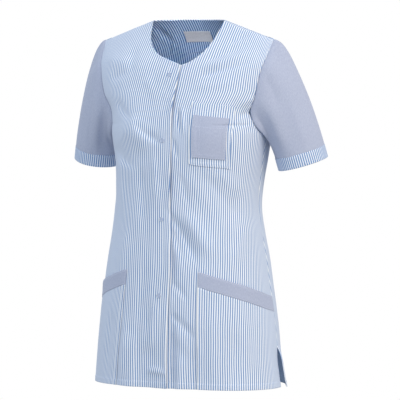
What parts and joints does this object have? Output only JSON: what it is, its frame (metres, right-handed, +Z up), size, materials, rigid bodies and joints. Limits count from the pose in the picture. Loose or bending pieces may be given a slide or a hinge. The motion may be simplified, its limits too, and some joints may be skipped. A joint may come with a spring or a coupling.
{
  "type": "medical tunic",
  "caption": "Short-sleeved button-through work tunic with a round open neck, a chest pocket, slanted hip pockets and side slits, in its worn hollow form.",
  "frame": {"origin": "midway between the neck ends of the two shoulder seams, where the wearer's shoulders hold the tunic up", "axes": "+Z up, front faces -Y, wearer's left is +X"},
  "size_m": [0.5686, 0.2768, 0.7421],
  "materials": {
    "striped_cloth": "light poplin with fine white and blue stripes along the grain, soft matt",
    "chambray_cloth": "plain grey-blue chambray, soft matt",
    "label_tape": "bare off-white woven tape",
    "stud": "pale blue pearl, smooth"
  },
  "bodies": {
    "root": {"front_left": "striped_cloth", "front_right": "striped_cloth", "back": "striped_cloth", "neck_facing": "striped_cloth", "neck_label": "label_tape", "chest_pocket": "striped_cloth", "chest_pen_pocket": "chambray_cloth", "hip_pocket_left": "striped_cloth", "hip_pocket_right": "striped_cloth", "hip_band_left": "chambray_cloth", "hip_band_right": "chambray_cloth", "sleeve_left": "chambray_cloth", "sleeve_right": "chambray_cloth", "cuff_left": "striped_cloth", "cuff_right": "striped_cloth", "stud_1": "stud", "stud_2": "stud", "stud_3": "stud", "stud_4": "stud"}
  },
  "joints": []
}
